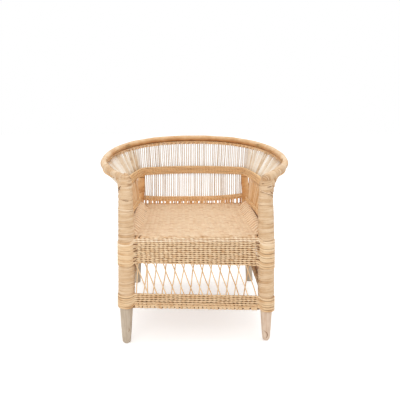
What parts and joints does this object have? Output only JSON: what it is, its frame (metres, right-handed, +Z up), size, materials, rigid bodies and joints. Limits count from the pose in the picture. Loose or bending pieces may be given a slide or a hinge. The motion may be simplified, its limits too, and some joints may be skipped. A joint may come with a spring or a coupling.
{
  "type": "child's cane armchair",
  "caption": "Low child's armchair of wooden poles and woven cane, with a flared hoop rail, fine stakes round the back and arms, a rolled woven seat and an open lattice skirt.",
  "frame": {"origin": "on the floor, under the middle of the chair's box", "axes": "+Z up, -Y out of the chair's front, +X to the right of someone who faces the chair's front"},
  "size_m": [0.4996, 0.4488, 0.4853],
  "materials": {
    "pole_wood": "bare, matte",
    "hidden_wood": "bare, matte",
    "wound_cane": "natural peel, satin",
    "rail_cane": "natural peel, satin",
    "band_cane": "natural, matte",
    "seat_cane": "natural, matte",
    "skirt_cane": "natural, matte",
    "stake_cane": "natural core, matte"
  },
  "bodies": {
    "root": {"front_leg_left": "pole_wood", "front_leg_right": "pole_wood", "rear_leg_left": "pole_wood", "rear_leg_right": "pole_wood", "seat_rail_front": "hidden_wood", "seat_rail_right": "hidden_wood", "seat_rail_back": "hidden_wood", "seat_rail_left": "hidden_wood", "stretcher_front": "hidden_wood", "stretcher_right": "hidden_wood", "stretcher_back": "hidden_wood", "stretcher_left": "hidden_wood", "top_rail": "hidden_wood", "middle_hoop": "hidden_wood", "top_rail_binding": "rail_cane", "arm_lashing_left": "wound_cane", "arm_lashing_right": "wound_cane", "front_leg_foot_cuff_left": "wound_cane", "front_leg_foot_cuff_right": "wound_cane", "front_leg_seat_cuff_left": "wound_cane", "front_leg_seat_cuff_right": "wound_cane", "front_leg_lower_winding_left": "wound_cane", "front_leg_lower_winding_right": "wound_cane", "front_leg_upper_winding_left": "wound_cane", "front_leg_upper_winding_right": "wound_cane", "rear_leg_wrap_left": "band_cane", "rear_leg_wrap_right": "band_cane", "rail_band": "band_cane", "middle_band": "band_cane", "seat_band_left": "band_cane", "seat_band_back": "band_cane", "seat_band_right": "band_cane", "upper_stakes_left": "stake_cane", "upper_stakes_back": "stake_cane", "upper_stakes_right": "stake_cane", "lower_stakes_left": "stake_cane", "lower_stakes_back": "stake_cane", "lower_stakes_right": "stake_cane", "seat_mat": "seat_cane", "apron_front": "skirt_cane", "apron_right": "skirt_cane", "apron_back": "skirt_cane", "apron_left": "skirt_cane", "lattice_front": "skirt_cane", "lattice_right": "skirt_cane", "lattice_back": "skirt_cane", "lattice_left": "skirt_cane", "bottom_band_front": "skirt_cane", "bottom_band_right": "skirt_cane", "bottom_band_back": "skirt_cane", "bottom_band_left": "skirt_cane"}
  },
  "joints": []
}
